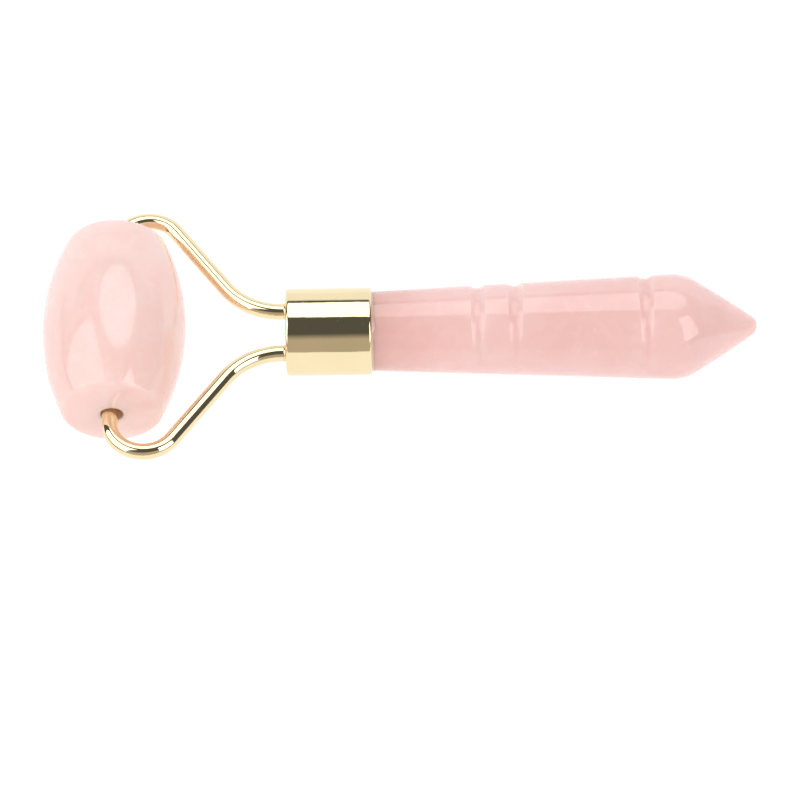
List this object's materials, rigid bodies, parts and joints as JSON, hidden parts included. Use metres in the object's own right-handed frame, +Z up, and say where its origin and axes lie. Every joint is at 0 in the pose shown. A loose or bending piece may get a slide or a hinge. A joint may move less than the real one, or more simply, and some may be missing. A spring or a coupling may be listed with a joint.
{
  "type": "face roller",
  "caption": "Hand-held face massage roller: a polished stone barrel spins on a bent wire fork set in a metal ferrule on a tapered stone handle with a pointed end.",
  "frame": {"origin": "on the table, below the middle of the object's length and of the fork's width, with the roller lying as it does when put down", "axes": "+X along the object's length towards the handle's point, +Y along the barrel's axis towards the right arm, +Z up"},
  "size_m": [0.09, 0.0374, 0.018],
  "materials": {
    "stone": "polished",
    "gold": "polished",
    "braze": "satin",
    "nylon": "satin",
    "resin": "gloss"
  },
  "bodies": {
    "handle": {"handle_stone": "stone", "handle_adhesive": "resin", "ferrule": "gold", "left_braze": "braze", "right_braze": "braze", "left_arm": "gold", "right_arm": "gold"},
    "sleeves": {"left_sleeve": "nylon", "right_sleeve": "nylon"},
    "roller": {"roller_stone": "stone"}
  },
  "joints": [
    {"name": "roller_float", "type": "slide", "parent": "handle", "child": "sleeves", "axis": [0, 1, 0], "range_m": [-0.0023, 0.0005]},
    {"name": "roller_spin", "type": "hinge", "parent": "sleeves", "child": "roller", "pos_m": [-0.036, 0.0009, 0.009], "axis": [0, 1, 0], "continuous": true}
  ]
}
